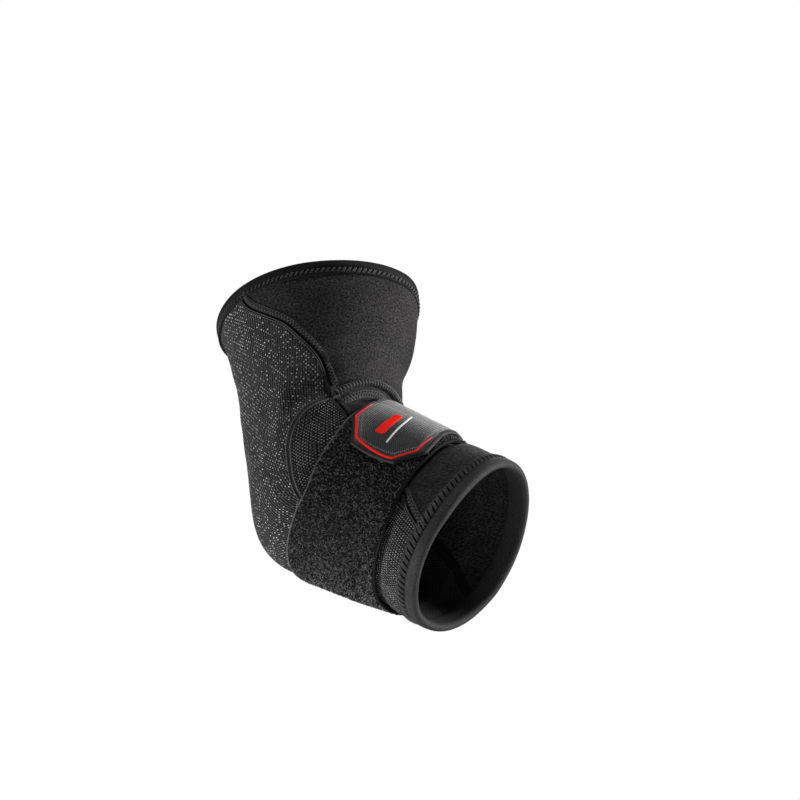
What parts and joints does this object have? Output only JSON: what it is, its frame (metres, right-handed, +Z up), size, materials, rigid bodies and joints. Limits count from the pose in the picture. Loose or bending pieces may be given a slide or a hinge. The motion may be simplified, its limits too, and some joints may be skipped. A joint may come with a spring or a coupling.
{
  "type": "elbow support sleeve with strap",
  "caption": "Black knit elbow brace held in its worn, bent form, with smooth front panels, flat seams, bound hems, and a wrap strap closed by a grey tab with a red line.",
  "frame": {"origin": "elbow centre of the hollow, where the axis of the upper arm's hollow and the axis of the forearm's hollow cross", "axes": "+Z up the upper arm, +X towards the front, the forearm's axis in the XZ plane and 24 degrees below +X, -Y towards the outer side where the tab ends"},
  "size_m": [0.1703, 0.0936, 0.2057],
  "materials": {
    "smooth_cloth": "matte",
    "knit_cloth": "matte",
    "hem_cloth": "matte",
    "seam_thread": "matte",
    "strap_loop_cloth": "matte",
    "tab_twill": "matte",
    "tab_trim_red": "satin"
  },
  "bodies": {
    "root": {"smooth_upper_panel": "smooth_cloth", "smooth_forearm_panel": "smooth_cloth", "knit_upper_panel": "knit_cloth", "knit_forearm_panel": "knit_cloth", "upper_hem": "hem_cloth", "forearm_hem": "hem_cloth", "outer_side_seam": "seam_thread", "inner_side_seam": "seam_thread", "crook_seam": "seam_thread", "elbow_seam": "seam_thread", "strap": "strap_loop_cloth", "strap_tab": "tab_twill", "tab_trim": "tab_trim_red"}
  },
  "joints": []
}
